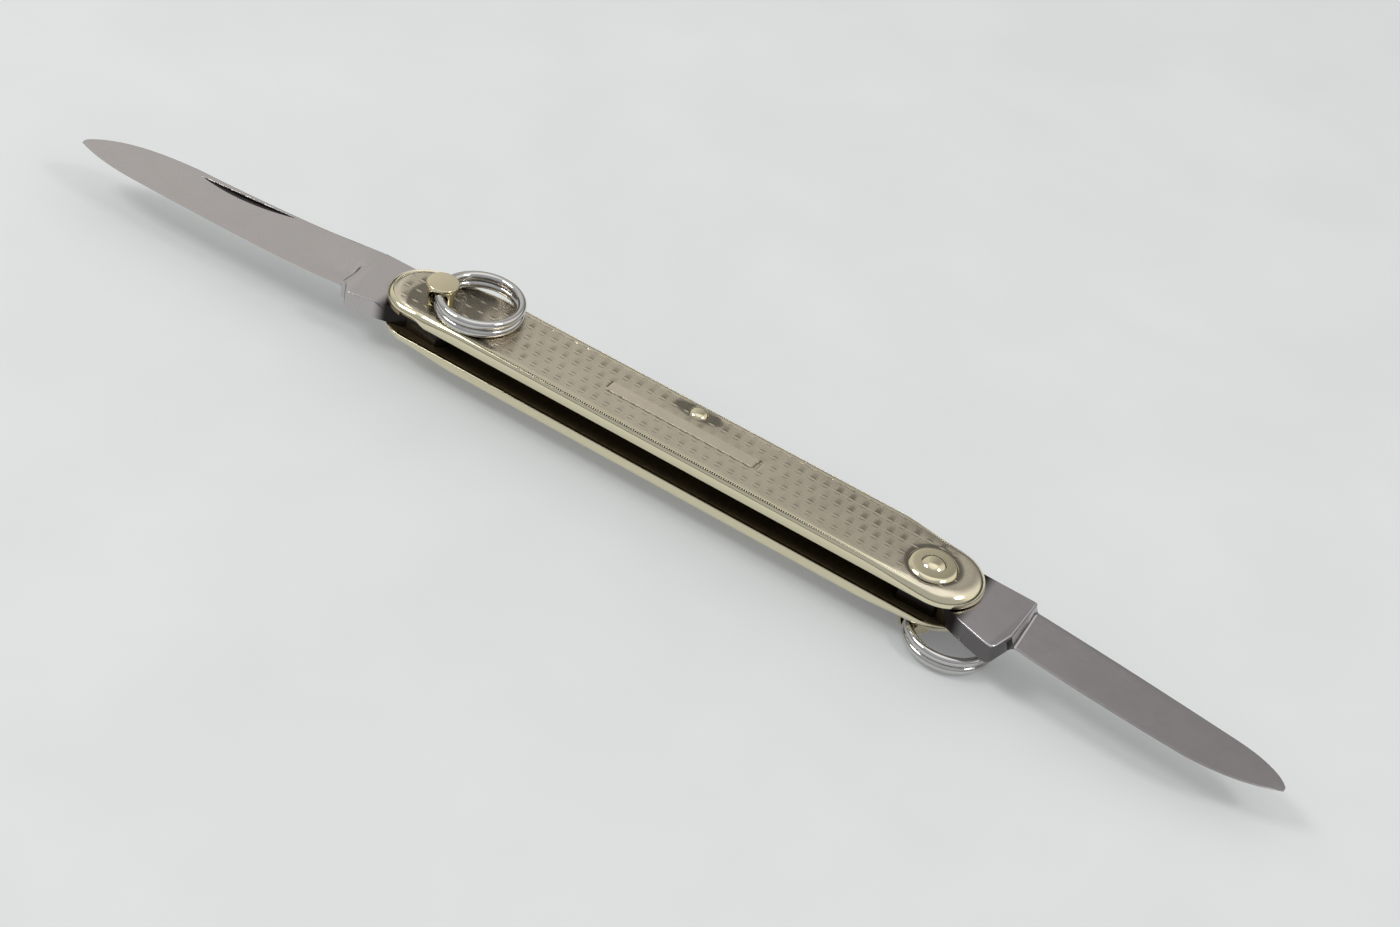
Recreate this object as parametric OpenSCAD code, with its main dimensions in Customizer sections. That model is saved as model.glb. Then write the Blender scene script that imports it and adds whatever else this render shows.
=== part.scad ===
// Two-bladed pen knife, one blade at each end, both opened.
// Each pivot pin carries a pierced bail on one side of the handle and is
// peened over a domed washer on the other, and a split ring hangs in each bail.
// The handle repeats when it is turned half a turn about the Y axis.
// Lengths are in millimetres. X runs along the handle, the back spring is on
// the +Y side and the blade slot opens on the -Y side.

/* [Handle] */
// Length of the closed handle
handle_l = 63.4; // [56:0.2:70]
// Width of the handle across the covers
handle_w = 8.1; // [7.9:0.1:9]
// Radius of the handle's round ends
end_r = 3.9; // [3.7:0.1:3.9]
// Angle at which the spring side draws in to the ends, in degrees
side_taper = 3; // [2:0.5:5]
// Slot between the two liners
slot_t = 2; // [1.9:0.02:2.2]
// Distance of the pivots from the handle's ends, the mean of both ends
pivot_inset = 5.2; // [4.7:0.1:5.4]
// Shift of the handle's ends off the pivots' middle, along X
end_shift = -0.35; // [-0.4:0.05:0.2]
// Height of the pivots, from the middle of the handle's width
pivot_y = -0.7; // [-0.8:0.05:-0.5]

/* [Covers] */
// Thickness of a cover's face
cover_t = 0.55; // [0.5:0.05:0.8]
// Width of the skirt that turns down round a cover
skirt_w = 0.45; // [0.35:0.05:0.6]
// Gap between the skirt and the slot along the sides
skirt_gap = 0.05; // [0.03:0.01:0.2]
// Length at each end where the skirt is cut short
skirt_relief_l = 3.3; // [2.5:0.1:3.6]
// Depth of that cut, from the slot up
skirt_relief_h = 0.55; // [0.4:0.05:0.6]
// Radius of a cover's rolled rim
rim_r = 0.6; // [0.3:0.05:0.7]
// Length of the plain panel left in the pattern
panel_l = 16; // [12:0.5:20]
// Width of that panel
panel_w = 1.3; // [1:0.1:1.8]
// Height of the panel's centre line, from the middle of the handle's width
panel_y = 0.05; // [0:0.05:0.6]
// Width of the line cut round the panel
panel_line_w = 0.12; // [0.08:0.02:0.2]
// Depth of that line
panel_line_depth = 0.06; // [0.04:0.02:0.1]

/* [Liners] */
// Thickness of a liner
liner_t = 0.8; // [0.7:0.05:1]
// Play between a liner and the cover round it
liner_play = 0.02; // [0.01:0.01:0.05]
// Set-back of a liner's end from the cover's end
liner_setback = 0.12; // [0.1:0.02:0.2]

/* [Back spring] */
// Set-back of the spring from the covers' outer edge
spring_setback = 0.1; // [0.05:0.05:0.2]
// Length of the spring past each pivot
spring_over = 2.75; // [2.6:0.05:3]
// Length of the pad that bears on a tang
spring_pad_l = 5.4; // [5.1:0.1:5.6]
// Slope from a pad up to the spring's thin arm
spring_slope_l = 2; // [1.5:0.1:2.2]
// Metal left round the rivet on the slot side
spring_boss_wall = 0.5; // [0.4:0.05:0.55]
// Half length of the boss round the rivet
spring_boss_l = 2.6; // [2:0.1:4]
// Play between the spring and a closed blade's kick
kick_play = 0.02; // [0.01:0.01:0.05]

/* [Spring rivet] */
// Diameter of the rivet's shank
rivet_d = 1; // [0.8:0.05:1.1]
// Diameter of its domed heads
rivet_head_d = 1.9; // [1.6:0.05:2.1]
// Height of its domed heads
rivet_head_h = 0.35; // [0.25:0.05:0.5]
// Place of the rivet along the handle
rivet_x = 0.3; // [-1:0.1:1]
// Distance of the rivet from the covers' edge
rivet_inset = 1.55; // [1.45:0.05:1.7]

/* [Tangs] */
// Play between a tang and each liner
tang_play = 0.05; // [0.03:0.01:0.08]
// Distance from the pivot to the flats that the spring bears on
tang_flat = 2.3; // [2.2:0.05:2.4]
// Radius that rounds the corners between those flats
tang_corner_r = 2.9; // [2.8:0.05:3.1]
// Play between a tang's back and the end of the spring
tang_back_play = 0.05; // [0.02:0.01:0.1]
// Distance from the pivot to the start of the plunge
plunge_x = 9; // [8.8:0.1:9.6]
// Length of the plunge from the tang's face to the blade's face
plunge_l = 1.2; // [0.8:0.1:2]
// Distance of a kick from the plunge, towards the pivot
kick_inset = 0.9; // [0.8:0.05:1.1]
// Drop of a tang's back below the spring's back where the two meet
tang_back_drop = 0.7; // [0.65:0.05:0.9]

/* [Master blade] */
// Length from the pivot to the tip
master_l = 41.4; // [38:0.2:43]
// Height of the back at the plunge, over the pivot
master_back_h = 3.85; // [3.6:0.05:3.9]
// Distance of the back's shoulder from the tip
master_shoulder_l = 11.3; // [9:0.2:14]
// Height of the back at its shoulder
master_shoulder_h = 1.95; // [1.7:0.05:2.2]
// Drop of the tip below the pivot
master_tip_drop = 2.55; // [2.2:0.05:2.7]
// Distance of the belly's start from the tip
master_belly_l = 7.4; // [6:0.2:10]
// Drop of the edge below the pivot at the belly
master_edge_drop = 3.8; // [3.4:0.05:3.9]
// Drop of the edge below the pivot at the choil
master_choil_drop = 2.4; // [2.2:0.05:2.6]
// Drop of the kick below the pivot
master_kick_drop = 3.7; // [3.4:0.05:3.8]
// Turn from open to closed, in degrees
master_swing = 175; // [174.5:0.1:175.4]
// Length of the nail nick
nick_l = 10.9; // [8:0.1:12]
// Depth of the nail nick under its straight side
nick_depth = 0.22; // [0.15:0.01:0.26]
// Height of the nick from its straight side to its curved side
nick_h = 0.77; // [0.6:0.01:0.9]
// Distance of the nick's middle from the tip
nick_tip_l = 17.4; // [15:0.2:20]
// Height of the nick's straight side over the pivot
nick_rise = 1.89; // [1.6:0.01:2]
// Turn of the nick towards the edge at the tip's end, in degrees
nick_turn = 5.6; // [4:0.1:8]

/* [Pen blade] */
// Length from the pivot to the tip
pen_l = 34.9; // [32:0.1:36]
// Height of the back at the plunge, over the pivot
pen_back_h = 3.9; // [3.6:0.05:4]
// Distance of the back's shoulder from the tip
pen_shoulder_l = 6; // [5:0.2:8]
// Height of the back at its shoulder
pen_shoulder_h = 2.2; // [1.9:0.05:2.5]
// Drop of the tip below the pivot
pen_tip_drop = 0.55; // [0.2:0.05:1]
// Distance of the belly's start from the tip
pen_belly_l = 8.6; // [7:0.2:12]
// Drop of the edge below the pivot at the belly
pen_edge_drop = 2.9; // [2.6:0.05:2.9]
// Drop of the edge below the pivot at the choil
pen_choil_drop = 1.3; // [1.2:0.05:1.6]
// Drop of the kick below the pivot
pen_kick_drop = 4.1; // [3.8:0.05:4.2]
// Turn from open to closed, in degrees
pen_swing = 178; // [177.6:0.1:178.4]

/* [Blade sections] */
// Thickness of a blade's back at the plunge
back_root_t = 1.1; // [0.9:0.05:1.15]
// Thickness of a blade's back at the tip
back_tip_t = 0.32; // [0.25:0.01:0.36]
// Thickness of the edge
edge_t = 0.08; // [0.06:0.01:0.12]
// Step from a tang's outer face to the blade's outer face
outer_step = 0.09; // [0.05:0.01:0.12]
// Extra step of the outer face at the tip
outer_taper = 0.14; // [0.1:0.01:0.16]

/* [Pivot pins and bails] */
// Diameter of a pin's shank
pin_d = 1.8; // [1.6:0.05:1.9]
// Running play round the shank in a tang, on the radius
pin_play = 0.03; // [0.02:0.01:0.05]
// Diameter of a pin's peened end
peen_d = 2.3; // [2:0.05:2.5]
// Height of the peened end
peen_h = 0.38; // [0.3:0.02:0.45]
// Depth of the seat that a bail has in its cover
bail_seat = 0.2; // [0.15:0.05:0.3]
// Diameter of a bail at its seat
bail_foot_d = 2.6; // [2.5:0.05:2.8]
// Diameter of a bail's head
bail_head_d = 3.14; // [3:0.02:3.4]
// Height of a bail over its cover
bail_h = 2.1; // [2.05:0.05:2.4]
// Height of the chamfer round the head
bail_chamfer = 0.2; // [0.1:0.02:0.24]
// Height of the straight rim under the chamfer
bail_rim_h = 0.2; // [0.1:0.02:0.3]
// Diameter of the hole across a bail
bail_hole_d = 1.94; // [1.92:0.01:2]
// Height of that hole's axis over the cover
bail_hole_h = 0.92; // [0.91:0.01:0.96]

/* [Washers] */
// Diameter of a washer
washer_d = 4.65; // [4.2:0.05:5]
// Height of a washer's edge
washer_edge_h = 0.12; // [0.1:0.01:0.2]
// Height of a washer under the peened end
washer_h = 0.36; // [0.3:0.01:0.45]
// Play round the shank in fixed pieces, on the radius
seat_play = 0.02; // [0.01:0.01:0.03]

/* [Split rings] */
// Outer diameter of a ring
ring_d = 8.6; // [8.4:0.05:9.2]
// Diameter of its wire
wire_d = 0.86; // [0.8:0.01:0.87]
// Gap between its two turns
turn_gap = 0.04; // [0.03:0.01:0.06]
// Angle taken by the step from one turn to the other, in degrees
step_angle = 20; // [16:1:30]
// How far the master blade's ring is pushed in past its bail's axis
master_ring_slack = 0.08; // [0.06:0.01:0.27]
// How far the pen blade's ring is pushed in past its bail's axis
pen_ring_slack = 0.25; // [0.06:0.01:0.27]
// Direction in which the master blade's ring lies, from +X, in degrees
master_ring_turn = 17; // [0:1:30]
// Direction in which the pen blade's ring lies, from +X, in degrees
pen_ring_turn = -8; // [-20:1:10]

/* [Hidden] */
$fn = 48;
hull_fn = 32;
cap_fn = 200;
eps = 0.01;

// Levels of the layers above the handle's middle plane
liner_z = slot_t / 2;
cover_z = liner_z + liner_t;
face_z = cover_z + cover_t;
skirt_z = liner_z + skirt_gap;
tang_z = slot_t / 2 - tang_play;

// Places along and across the handle
pivot_x = handle_l / 2 - pivot_inset;
rivet_y = handle_w / 2 - rivet_inset;
spring_end_x = pivot_x + spring_over;
pad_y = pivot_y + tang_flat;
boss_y = rivet_y - rivet_d / 2 - spring_boss_wall;

// The handle is set off its middle so that the opened knife is centred
handle_x = (master_l - pen_l) / 2;

// Place of a kick along its tang, and height at which it rests when closed
kick_x = plunge_x - kick_inset;
function kick_rest(drop, swing) =
    pivot_y - kick_x * sin(swing) - drop * cos(swing) + kick_play;
master_arm_y = kick_rest(master_kick_drop, master_swing);
pen_arm_y = kick_rest(pen_kick_drop, pen_swing);

// Split ring
ring_r = (ring_d - wire_d) / 2;
turn_z = (wire_d + turn_gap) / 2;
bail_hole_z = face_z + bail_hole_h;
step_place = 180 - step_angle / 2;

// Moves what is drawn about the handle's centre to its place in the frame
module on_handle() translate([handle_x, 0, 0]) children();

// Half a turn about Y, which takes the front half of the handle to the rear
module turned() rotate([0, 180, 0]) children();

// Covers and liners

// Centre of the handle's round end, the point where the spring side runs into
// it, and the shoulder where that side starts to draw in
end_centre = [handle_l / 2 - end_r, end_r - handle_w / 2];
function end_touch(inset) =
    end_centre + (end_r - inset) * [sin(side_taper), cos(side_taper)];
function shoulder_x(inset) = let (touch = end_touch(inset))
    touch[0] - (handle_w / 2 - inset - touch[1]) / tan(side_taper);

// Plan of the handle, drawn in by inset: round ends, a straight slot side and
// a spring side that draws in towards the ends
module handle_plan(inset = 0) {
    y = handle_w / 2 - inset;
    touch = end_touch(inset);
    x = shoulder_x(inset);
    polygon([
        [-end_centre[0], -y], [end_centre[0], -y], touch, [x, y],
        [-x, y], [-touch[0], touch[1]]
    ]);
    plan_ends(inset);
}
module plan_ends(inset) {
    for (s = [-1, 1]) translate([s * end_centre[0], end_centre[1]]) circle(end_r - inset);
}

// One thin layer of a cover's block: the round ends and the two shoulders,
// whose hull is the plan
module plan_layer(inset, z) {
    x = shoulder_x(inset);
    y = handle_w / 2 - inset;
    translate([0, 0, z]) linear_extrude(eps) {
        plan_ends(inset, $fn = hull_fn);
        polygon([[-x, y], [0, 0], [x, y]]);
    }
}

// Solid block of a cover with its rolled rim, before it is hollowed
module cover_block() {
    hull() {
        plan_layer(0, skirt_z);
        for (a = [0 : 15 : 90])
            plan_layer(rim_r * (1 - cos(a)), face_z - rim_r + rim_r * sin(a) - eps);
    }
}

// Line cut round the plain panel
module panel_line() {
    translate([0, panel_y, face_z - panel_line_depth])
        linear_extrude(panel_line_depth + eps)
            difference() {
                square([panel_l, panel_w], center = true);
                square([panel_l - 2 * panel_line_w, panel_w - 2 * panel_line_w], center = true);
            }
}

// A cover, drawn as the front one; side is -1 where it is turned to the rear
module cover(side) {
    difference() {
        translate([side * end_shift, 0, 0]) cover_block();
        translate([side * end_shift, 0, skirt_z - eps])
            linear_extrude(cover_z - skirt_z + eps) handle_plan(skirt_w);
        for (s = [-1, 1])
            translate([side * end_shift + s * handle_l / 2, 0, liner_z])
                cube([2 * skirt_relief_l, handle_w, 2 * skirt_relief_h], center = true);
        for (s = [-1, 1])
            translate([s * pivot_x, pivot_y, cover_z - eps])
                cylinder(d = pin_d + 2 * seat_play, h = cover_t + 2 * eps);
        translate([-pivot_x, pivot_y, face_z - bail_seat])
            cylinder(d = bail_foot_d + 2 * seat_play, h = bail_seat + eps);
        translate([side * rivet_x, rivet_y, cover_z - eps])
            cylinder(d = rivet_d + 2 * seat_play, h = cover_t + 2 * eps);
        panel_line();
    }
}

// A liner, drawn as the front one: it fills its cover and shows at both ends
module liner(side) {
    difference() {
        translate([side * end_shift, 0, 0]) {
            translate([0, 0, liner_z])
                linear_extrude(liner_t) handle_plan(skirt_w + liner_play);
            translate([0, 0, liner_z])
                linear_extrude(skirt_relief_h - liner_play) liner_ends();
        }
        for (s = [-1, 1])
            translate([s * pivot_x, pivot_y, liner_z - eps])
                cylinder(d = pin_d + 2 * seat_play, h = liner_t + 2 * eps);
        translate([side * rivet_x, rivet_y, liner_z - eps])
            cylinder(d = rivet_d + 2 * seat_play, h = liner_t + 2 * eps);
    }
}

// Plan of the stretches where a liner reaches out under the short skirt
module liner_ends() {
    w = skirt_relief_l - liner_play;
    intersection() {
        handle_plan(liner_setback);
        for (s = [-1, 1])
            translate([s * (handle_l / 2 - w / 2), 0]) square([w, handle_w], center = true);
    }
}

module front_scale() color([0.78, 0.74, 0.62]) on_handle() cover(1);
module rear_scale() color([0.78, 0.74, 0.62]) on_handle() turned() cover(-1);
module front_liner() color([0.36, 0.33, 0.28]) on_handle() liner(1);
module rear_liner() color([0.36, 0.33, 0.28]) on_handle() turned() liner(-1);

// Back spring and its rivet

// The spring's slot side: a pad over each tang, thin arms and the rivet's boss
module spring_plan() {
    pad_in = spring_end_x - spring_pad_l;
    arm_in = pad_in - spring_slope_l;
    boss_out = spring_boss_l + spring_slope_l;
    intersection() {
        translate([end_shift, 0]) handle_plan(spring_setback);
        polygon([
            [-spring_end_x, handle_w], [-spring_end_x, pad_y],
            [-pad_in, pad_y], [-arm_in, master_arm_y],
            [rivet_x - boss_out, master_arm_y], [rivet_x - spring_boss_l, boss_y],
            [rivet_x + spring_boss_l, boss_y], [rivet_x + boss_out, pen_arm_y],
            [arm_in, pen_arm_y], [pad_in, pad_y],
            [spring_end_x, pad_y], [spring_end_x, handle_w]
        ]);
    }
}

module back_spring() color([0.55, 0.54, 0.53]) on_handle() {
    difference() {
        translate([0, 0, -slot_t / 2]) linear_extrude(slot_t) spring_plan();
        translate([rivet_x, rivet_y, -slot_t / 2 - eps])
            cylinder(d = rivet_d + 2 * seat_play, h = slot_t + 2 * eps);
    }
}

// Half section of a domed cap of diameter d and height h, standing on y = 0
module cap_section(d, h) {
    r = (d * d / 4 + h * h) / (2 * h);
    intersection() {
        translate([0, h - r]) circle(r, $fn = cap_fn);
        square([d / 2, h]);
    }
}
module dome(d, h) rotate_extrude() cap_section(d, h);

module spring_rivet() color([0.8, 0.76, 0.62]) on_handle() {
    translate([rivet_x, rivet_y, 0]) {
        translate([0, 0, -face_z]) cylinder(d = rivet_d, h = 2 * face_z);
        for (s = [0, 180])
            rotate([s, 0, 0]) translate([0, 0, face_z]) dome(rivet_head_d, rivet_head_h);
    }
}

// Blades, drawn from the pivot along +X with the back to +Y and the outer
// face to +Z

// Points of a quadratic curve from a to c that leans towards b
function curve(a, b, c, n) = [
    for (i = [0 : n]) let (t = i / n)
        (1 - t) * (1 - t) * a + 2 * t * (1 - t) * b + t * t * c
];
function mix(a, b, t) = a + (b - a) * t;
function ease(t) = let (u = min(max(t, 0), 1)) u * u * (3 - 2 * u);

curve_steps = 12;
root_overlap = 0.5;
tip_blunt = 0.12;
shoulder_lean = 0.79;
shoulder_sag = 0.155;
belly_lean = 0.6;
belly_sag = 0.1;

// Back of a blade from inside its tang to the tip; bow lifts its middle
function back_line(l, back_h, shoulder_l, shoulder_h, tip_drop, bow) = let (
    root = [plunge_x - root_overlap, back_h],
    shoulder = [l - shoulder_l, shoulder_h],
    tip = [l, tip_blunt - tip_drop]
) concat(
    curve(root, (root + shoulder) / 2 + [0, bow], shoulder, curve_steps),
    [for (i = [1 : curve_steps]) curve(shoulder, [
        mix(shoulder[0], tip[0], shoulder_lean), mix(shoulder[1], tip[1], shoulder_sag)
    ], tip, curve_steps)[i]]
);

// Edge of a blade from inside its tang to the tip; lean and bow set how soon
// it reaches its full depth
function edge_line(l, choil_drop, belly_l, edge_drop, tip_drop, lean, bow) = let (
    root = [plunge_x - root_overlap, -choil_drop],
    belly = [l - belly_l, -edge_drop],
    tip = [l - tip_blunt, -tip_drop - tip_blunt]
) concat(
    curve(root, [mix(root[0], belly[0], lean), mix(root[1], belly[1], lean) + bow],
        belly, curve_steps),
    [for (i = [1 : curve_steps]) curve(belly, [
        mix(belly[0], tip[0], belly_lean), mix(belly[1], tip[1], belly_sag) - belly_sag
    ], tip, curve_steps)[i]]
);

// Levels of a section: the outer and inner face at the back and at the edge
function section_z(x, l) = let (
    s = ease((x - plunge_x) / plunge_l),
    u = max(0, (x - plunge_x) / (l - plunge_x)),
    outer = tang_z - outer_step - outer_taper * u,
    inner = outer - mix(back_root_t, back_tip_t, u),
    middle = (outer + inner) / 2,
    root = tang_z - eps
) [
    mix(root, outer, s), mix(-root, inner, s),
    mix(root, middle + edge_t / 2, s), mix(-root, middle - edge_t / 2, s)
];

// The ground part of a blade, one four-cornered section at each step
module ground_blade(back, edge, l) {
    n = len(back);
    points = [for (i = [0 : n - 1]) let (b = back[i], e = edge[i],
                                        zb = section_z(b[0], l), ze = section_z(e[0], l))
        each [
            [b[0], b[1], zb[0]], [b[0], b[1], zb[1]],
            [e[0], e[1], ze[3]], [e[0], e[1], ze[2]]
        ]];
    sides = [for (i = [0 : n - 2], k = [0 : 3]) let (
            a = 4 * i + k, b = 4 * i + (k + 1) % 4, c = b + 4, d = a + 4)
        each [[a, b, c], [a, c, d]]];
    ends = [[0, 3, 2, 1], [for (k = [0 : 3]) 4 * (n - 1) + k]];
    polyhedron(points = points, faces = concat(sides, ends), convexity = 4);
}

// Slopes either side of a kick, along and up, and the tang's sole behind it
kick_nose = [0.35, 0.5];
kick_heel = [0.5, 0.05];
choil_step = 0.1;
tang_sole_l = 2.6;
tang_sole_lean = 0.6;

// Plan of a tang: round end cut by the flats, back, plunge, kick and choil
module tang_plan(back_h, choil_drop, kick_drop, swing) {
    back_x = spring_over + tang_back_play;
    back_rise = handle_w / 2 - spring_setback - pivot_y - tang_back_drop;
    intersection() {
        circle(tang_corner_r);
        translate([-tang_flat, -2 * tang_flat])
            square([4 * tang_flat, 3 * tang_flat]);
        rotate(-swing) translate([-2 * tang_flat, -2 * tang_flat])
            square([4 * tang_flat, 3 * tang_flat]);
    }
    polygon([
        [0, tang_flat], [back_x, tang_flat], [back_x, back_rise],
        [plunge_x, back_h], [plunge_x, -choil_drop - choil_step],
        [kick_x + kick_nose[0], kick_nose[1] - kick_drop], [kick_x, -kick_drop],
        [kick_x - kick_heel[0], kick_heel[1] - kick_drop],
        [kick_x - tang_sole_l, mix(-tang_flat, -kick_drop, tang_sole_lean)],
        [spring_over, -tang_flat], [0, -tang_flat / 2]
    ]);
}

module blade(l, back, edge, back_h, choil_drop, kick_drop, swing) {
    difference() {
        union() {
            translate([0, 0, -tang_z]) linear_extrude(2 * tang_z)
                tang_plan(back_h, choil_drop, kick_drop, swing);
            ground_blade(back, edge, l);
        }
        translate([0, 0, -tang_z - eps])
            cylinder(d = pin_d + 2 * pin_play, h = 2 * tang_z + 2 * eps);
    }
}

// Cut of a large wheel that crosses the outer face and leans in to the back:
// straight and steep along the back, curved and shallow towards the edge
nick_wheel_r = (nick_l * nick_l / 4 + nick_depth * nick_depth) / (2 * nick_depth);
module nail_nick(x, face, face_lean) {
    lean = atan(nick_depth / nick_h) - face_lean;
    translate([x, nick_rise, face]) rotate([-lean, 0, -nick_turn])
        translate([0, 0, nick_wheel_r - nick_depth]) rotate([90, 0, 0])
            cylinder(r = nick_wheel_r, h = 2 * nick_h, $fn = cap_fn);
}

// How far the backs bow up, how soon the edges drop and how far they bow
master_back_bow = -0.6;
master_edge_lean = 0.2;
master_edge_bow = -1;
pen_back_bow = 0.2;
pen_edge_lean = 0.35;
pen_edge_bow = -0.5;
master_back = back_line(master_l, master_back_h, master_shoulder_l, master_shoulder_h,
    master_tip_drop, master_back_bow);
master_edge = edge_line(master_l, master_choil_drop, master_belly_l, master_edge_drop,
    master_tip_drop, master_edge_lean, master_edge_bow);
pen_back = back_line(pen_l, pen_back_h, pen_shoulder_l, pen_shoulder_h,
    pen_tip_drop, pen_back_bow);
pen_edge = edge_line(pen_l, pen_choil_drop, pen_belly_l, pen_edge_drop,
    pen_tip_drop, pen_edge_lean, pen_edge_bow);

module master_blade() color([0.66, 0.65, 0.65]) on_handle() {
    nick_x = master_l - nick_tip_l;
    level = section_z(nick_x, master_l);
    width = master_shoulder_h + master_edge_drop;
    nick_face_lean = atan((level[0] - level[2]) / width);
    nick_face = mix(level[0], level[2], (master_shoulder_h - nick_rise) / width);
    translate([-pivot_x, pivot_y, 0]) mirror([1, 0, 0])
        difference() {
            blade(master_l, master_back, master_edge, master_back_h, master_choil_drop,
                master_kick_drop, master_swing);
            nail_nick(nick_x, nick_face, nick_face_lean);
        }
}

module pen_blade() color([0.58, 0.57, 0.58]) on_handle() {
    translate([pivot_x, pivot_y, 0]) mirror([0, 0, 1])
        blade(pen_l, pen_back, pen_edge, pen_back_h, pen_choil_drop,
            pen_kick_drop, pen_swing);
}

// Pivot pins, washers and rings, drawn with the bail on the +Z side

// Pin with its pierced bail at the top and its peened end at the bottom
module bail_pin(ring_turn) {
    foot_r = bail_foot_d / 2;
    head_r = bail_head_d / 2;
    top = face_z + bail_h;
    difference() {
        union() {
            translate([0, 0, -face_z - washer_h])
                cylinder(d = pin_d, h = 2 * face_z + washer_h);
            rotate_extrude() polygon([
                [0, face_z - bail_seat], [foot_r, face_z - bail_seat], [foot_r, face_z],
                [head_r, top - bail_chamfer - bail_rim_h], [head_r, top - bail_chamfer],
                [head_r - bail_chamfer, top], [0, top]
            ]);
        }
        translate([0, 0, bail_hole_z]) rotate([90, 0, ring_turn])
            cylinder(d = bail_hole_d, h = 2 * bail_head_d, center = true);
    }
    rotate([180, 0, 0]) translate([0, 0, face_z + washer_h]) dome(peen_d, peen_h);
}

// Domed washer, on the far side of the handle from the bail
module washer() {
    hole_r = pin_d / 2 + seat_play;
    rotate([180, 0, 0]) translate([0, 0, face_z]) rotate_extrude() difference() {
        union() {
            square([washer_d / 2, washer_edge_h]);
            translate([0, washer_edge_h]) cap_section(washer_d, washer_h - washer_edge_h);
        }
        square([hole_r, washer_h]);
    }
}

// One turn of a split ring, open over the angle where the wire steps
module ring_turn_arc() {
    rotate_extrude(angle = 360 - step_angle) translate([ring_r, 0]) circle(d = wire_d);
}

// Split ring about its own centre: two turns joined by a slanted step
module split_ring() {
    a = [ring_r, 0, turn_z];
    b = [ring_r * cos(step_angle), ring_r * sin(step_angle), -turn_z];
    run = norm([b[0] - a[0], b[1] - a[1]]);
    translate([0, 0, turn_z]) rotate(step_angle) ring_turn_arc();
    translate([0, 0, -turn_z]) rotate(step_angle) ring_turn_arc();
    for (p = [a, b]) translate(p) sphere(d = wire_d + 2 * eps);
    translate(a) rotate([0, 90 + atan2(2 * turn_z, run), 90 + step_angle / 2])
        cylinder(d = wire_d - eps, h = norm(b - a));
}

// A ring where it lies, out from its bail in the given direction
module hung_ring(ring_turn, slack) {
    translate([0, 0, bail_hole_z]) rotate(ring_turn) translate([ring_r - slack, 0, 0])
        rotate(step_place) split_ring();
}

module at_master() translate([-pivot_x, pivot_y, 0]) children();
module at_pen() translate([pivot_x, pivot_y, 0]) turned() children();

module master_bail_pin() color([0.8, 0.76, 0.6]) on_handle() at_master()
    bail_pin(master_ring_turn);
module pen_bail_pin() color([0.8, 0.76, 0.6]) on_handle() at_pen()
    bail_pin(180 - pen_ring_turn);
module master_washer() color([0.8, 0.76, 0.6]) on_handle() at_master() washer();
module pen_washer() color([0.8, 0.76, 0.6]) on_handle() at_pen() washer();
module master_ring() color([0.7, 0.68, 0.7]) on_handle() at_master()
    hung_ring(master_ring_turn, master_ring_slack);
module pen_ring() color([0.7, 0.68, 0.7]) on_handle() at_pen()
    hung_ring(180 - pen_ring_turn, pen_ring_slack);

front_scale();
rear_scale();
front_liner();
rear_liner();
back_spring();
spring_rivet();
master_blade();
pen_blade();
master_bail_pin();
pen_bail_pin();
master_washer();
pen_washer();
master_ring();
pen_ring();
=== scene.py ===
"""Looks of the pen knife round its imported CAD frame: covers, blades, rings, pins, light and camera."""
import math

import bmesh
import bpy
import numpy as np
from mathutils import Matrix, Vector

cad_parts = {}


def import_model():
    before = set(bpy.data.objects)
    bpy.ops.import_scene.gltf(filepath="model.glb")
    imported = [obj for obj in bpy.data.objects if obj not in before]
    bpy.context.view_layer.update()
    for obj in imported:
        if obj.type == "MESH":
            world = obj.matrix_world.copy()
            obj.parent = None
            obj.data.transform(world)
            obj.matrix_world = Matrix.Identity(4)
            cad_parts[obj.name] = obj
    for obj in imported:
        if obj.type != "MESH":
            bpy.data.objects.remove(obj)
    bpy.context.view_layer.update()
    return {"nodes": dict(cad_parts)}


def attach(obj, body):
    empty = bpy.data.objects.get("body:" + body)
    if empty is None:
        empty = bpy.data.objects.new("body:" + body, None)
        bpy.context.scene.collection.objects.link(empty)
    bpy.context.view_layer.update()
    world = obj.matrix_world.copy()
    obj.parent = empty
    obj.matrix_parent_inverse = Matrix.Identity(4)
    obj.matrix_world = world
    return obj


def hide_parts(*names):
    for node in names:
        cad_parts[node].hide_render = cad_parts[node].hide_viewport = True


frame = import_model()

# Sizes are in mm, and heights are measured from the handle's middle plane
MM = 0.001
HANDLE_X = 3.25                       # the handle's middle in the row frame
FACE_Z, SKIRT_Z, LIP_Z = 2.35, 1.05, 1.55           # cover: face, foot of its skirt, foot where it is relieved
COVER_T, SKIRT_W, RIM_R, END_R = 0.55, 0.45, 0.6, 3.9           # sheet, skirt, radius of the rim and of the ends
END_X, END_Y, HALF_W = 27.8, -0.15, 4.05            # middle of the rounded ends, half width
END_SHIFT = -0.35                     # the handle's ends lie off the pivots' middle
TAPER = math.radians(3)               # slope of the covers' far side towards the ends
RELIEF = (25.4, 27.0)                 # where the relief of the front cover's skirt starts and is full
PIVOT_X, PIVOT_Y = 26.5, -0.7         # the pivots, from the handle's middle
PIVOT_AT = {"master_blade": HANDLE_X - PIVOT_X, "pen_blade": HANDLE_X + PIVOT_X}
RIVET_X, RIVET_Y = 0.3, 2.5
FLOOR_Z = -4.45


# Colours and materials

def lin(code):
    """sRGB hex to scene-linear."""
    out = []
    for i in (1, 3, 5):
        c = int(code[i:i + 2], 16) / 255
        out.append(c / 12.92 if c <= 0.04045 else ((c + 0.055) / 1.055) ** 2.4)
    return (*out, 1.0)


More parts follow.
